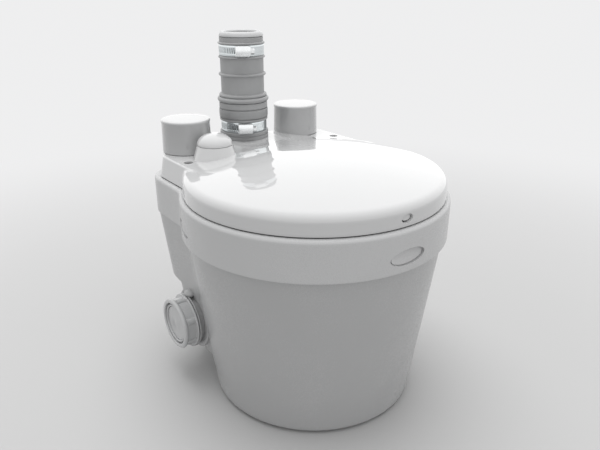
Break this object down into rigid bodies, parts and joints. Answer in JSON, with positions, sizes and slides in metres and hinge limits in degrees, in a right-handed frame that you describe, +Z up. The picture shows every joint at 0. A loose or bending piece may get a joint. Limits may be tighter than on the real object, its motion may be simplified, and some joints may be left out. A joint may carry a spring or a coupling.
{
  "type": "grey water macerator pump",
  "caption": "Floor-standing tank with a macerating pump under a domed lid, a ribbed discharge hose, capped top inlets and blanked side inlets.",
  "frame": {"origin": "on the floor under the tank, on the axis of the round part of the tank", "axes": "+X to the right seen from the front, -Y is the front with the round lid, +Y is the rear with the hose, +Z is up"},
  "size_m": [0.2848, 0.3157, 0.384],
  "materials": {
    "tank_plastic": "smooth moulded grey plastic",
    "lid_plastic": "polished white plastic",
    "cap_plastic": "smooth moulded light grey plastic",
    "nut_plastic": "smooth moulded light grey plastic",
    "hose_rubber": "satin grey rubber",
    "seal_rubber": "matt black rubber",
    "clip_steel": "bright stainless steel band",
    "screw_steel": "stainless steel",
    "pump_plastic": "dark glass-filled plastic",
    "impeller_plastic": "grey glass-filled plastic",
    "inner_plastic": "light grey plastic",
    "charcoal": "open charcoal foam",
    "motor_paint": "dark paint on metal",
    "copper": "varnished copper windings",
    "capacitor_can": "satin aluminium can",
    "switch_plastic": "black plastic",
    "seal_ceramic": "ground ceramic and carbon faces"
  },
  "bodies": {
    "tank_body": {"tank": "tank_plastic", "tank_feet": "seal_rubber", "lid_seal": "seal_rubber", "inlet_flap_pins": "screw_steel", "pump_feet": "seal_rubber", "pump_casing": "pump_plastic", "cutter_ring": "screw_steel", "shaft_seal": "seal_ceramic", "seal_plate": "pump_plastic", "lower_bearing": "screw_steel", "motor_housing": "motor_paint", "stator_core": "screw_steel", "stator_windings": "copper", "upper_bearing": "screw_steel", "motor_cover": "motor_paint", "pump_screws": "screw_steel", "control_box": "inner_plastic", "control_box_cover": "inner_plastic", "capacitor": "capacitor_can", "terminal_block": "inner_plastic", "air_tube": "inner_plastic", "switch_base": "switch_plastic", "switch_membrane": "seal_rubber", "switch_cover": "switch_plastic", "microswitch": "switch_plastic", "discharge_riser": "pump_plastic", "valve_body": "pump_plastic", "valve_pin": "screw_steel"},
    "lid_body": {"lid": "lid_plastic", "lid_screws": "screw_steel", "top_inlet_sleeves": "cap_plastic", "vent_filter": "charcoal", "cable_gland": "switch_plastic", "cable_gland_nut": "switch_plastic", "outlet_spigot": "inner_plastic", "outlet_seal": "seal_rubber", "discharge_hose": "hose_rubber", "upper_clip": "clip_steel", "lower_clip": "clip_steel"},
    "cap_left_body": {"top_cap_left": "cap_plastic"},
    "cap_right_body": {"top_cap_right": "cap_plastic"},
    "vent_cap_body": {"vent_cap": "lid_plastic"},
    "upper_screw_body": {"upper_clip_screw": "screw_steel"},
    "lower_screw_body": {"lower_clip_screw": "screw_steel"},
    "blank_left_body": {"inlet_blank_left": "nut_plastic", "inlet_seal_left": "seal_rubber"},
    "nut_left_body": {"inlet_nut_left": "nut_plastic"},
    "blank_right_body": {"inlet_blank_right": "nut_plastic", "inlet_seal_right": "seal_rubber"},
    "nut_right_body": {"inlet_nut_right": "nut_plastic"},
    "flap_left_body": {"inlet_flap_left": "seal_rubber"},
    "flap_right_body": {"inlet_flap_right": "seal_rubber"},
    "rotor_body": {"motor_shaft": "screw_steel", "rotor_core": "screw_steel", "impeller": "impeller_plastic", "cutter_blade": "screw_steel", "blade_nut": "screw_steel"},
    "plunger_body": {"switch_plunger": "inner_plastic"},
    "valve_flap_body": {"valve_flap": "seal_rubber"}
  },
  "joints": [
    {"name": "lid_lift", "type": "slide", "parent": "tank_body", "child": "lid_body", "axis": [0, 0, 1], "range_m": [0, 0.12]},
    {"name": "cap_left_lift", "type": "slide", "parent": "lid_body", "child": "cap_left_body", "axis": [0, 0, 1], "range_m": [0, 0.05]},
    {"name": "cap_right_lift", "type": "slide", "parent": "lid_body", "child": "cap_right_body", "axis": [0, 0, 1], "range_m": [0, 0.05]},
    {"name": "vent_cap_lift", "type": "slide", "parent": "lid_body", "child": "vent_cap_body", "axis": [0, 0, 1], "range_m": [0, 0.03]},
    {"name": "upper_clip_turn", "type": "hinge", "parent": "lid_body", "child": "upper_screw_body", "pos_m": [-0.01335, 0.1126, 0.3638], "axis": [0.891, -0.454, 0], "continuous": true},
    {"name": "lower_clip_turn", "type": "hinge", "parent": "lid_body", "child": "lower_screw_body", "pos_m": [-0.01403, 0.11127, 0.2768], "axis": [0.891, -0.454, 0], "continuous": true},
    {"name": "blank_left_slide", "type": "slide", "parent": "tank_body", "child": "blank_left_body", "axis": [-1, 0, 0], "range_m": [0, 0.009]},
    {"name": "nut_left_turn", "type": "hinge", "parent": "blank_left_body", "child": "nut_left_body", "pos_m": [-0.126, 0.0855, 0.071], "axis": [-1, 0, 0], "range_deg": [0, 1080]},
    {"name": "blank_right_slide", "type": "slide", "parent": "tank_body", "child": "blank_right_body", "axis": [1, 0, 0], "range_m": [0, 0.009]},
    {"name": "nut_right_turn", "type": "hinge", "parent": "blank_right_body", "child": "nut_right_body", "pos_m": [0.126, 0.0855, 0.071], "axis": [1, 0, 0], "range_deg": [0, 1080]},
    {"name": "flap_left_swing", "type": "hinge", "parent": "tank_body", "child": "flap_left_body", "pos_m": [-0.0968, 0.0855, 0.0983], "axis": [0, -1, 0], "range_deg": [0, 70]},
    {"name": "flap_right_swing", "type": "hinge", "parent": "tank_body", "child": "flap_right_body", "pos_m": [0.0968, 0.0855, 0.0983], "axis": [0, 1, 0], "range_deg": [0, 70]},
    {"name": "rotor_spin", "type": "hinge", "parent": "tank_body", "child": "rotor_body", "pos_m": [0, 0, 0.085], "axis": [0, 0, 1], "continuous": true},
    {"name": "plunger_travel", "type": "slide", "parent": "tank_body", "child": "plunger_body", "axis": [0, 0, 1], "range_m": [0, 0.0015]},
    {"name": "valve_flap_swing", "type": "hinge", "parent": "tank_body", "child": "valve_flap_body", "pos_m": [0, 0.1197, 0.1663], "axis": [1, 0, 0], "range_deg": [0, 65]}
  ],
  "couplings": [
    {"joint": "blank_left_slide", "follows": "nut_left_turn", "m_per_rad": 0.00047746},
    {"joint": "blank_right_slide", "follows": "nut_right_turn", "m_per_rad": 0.00047746}
  ]
}
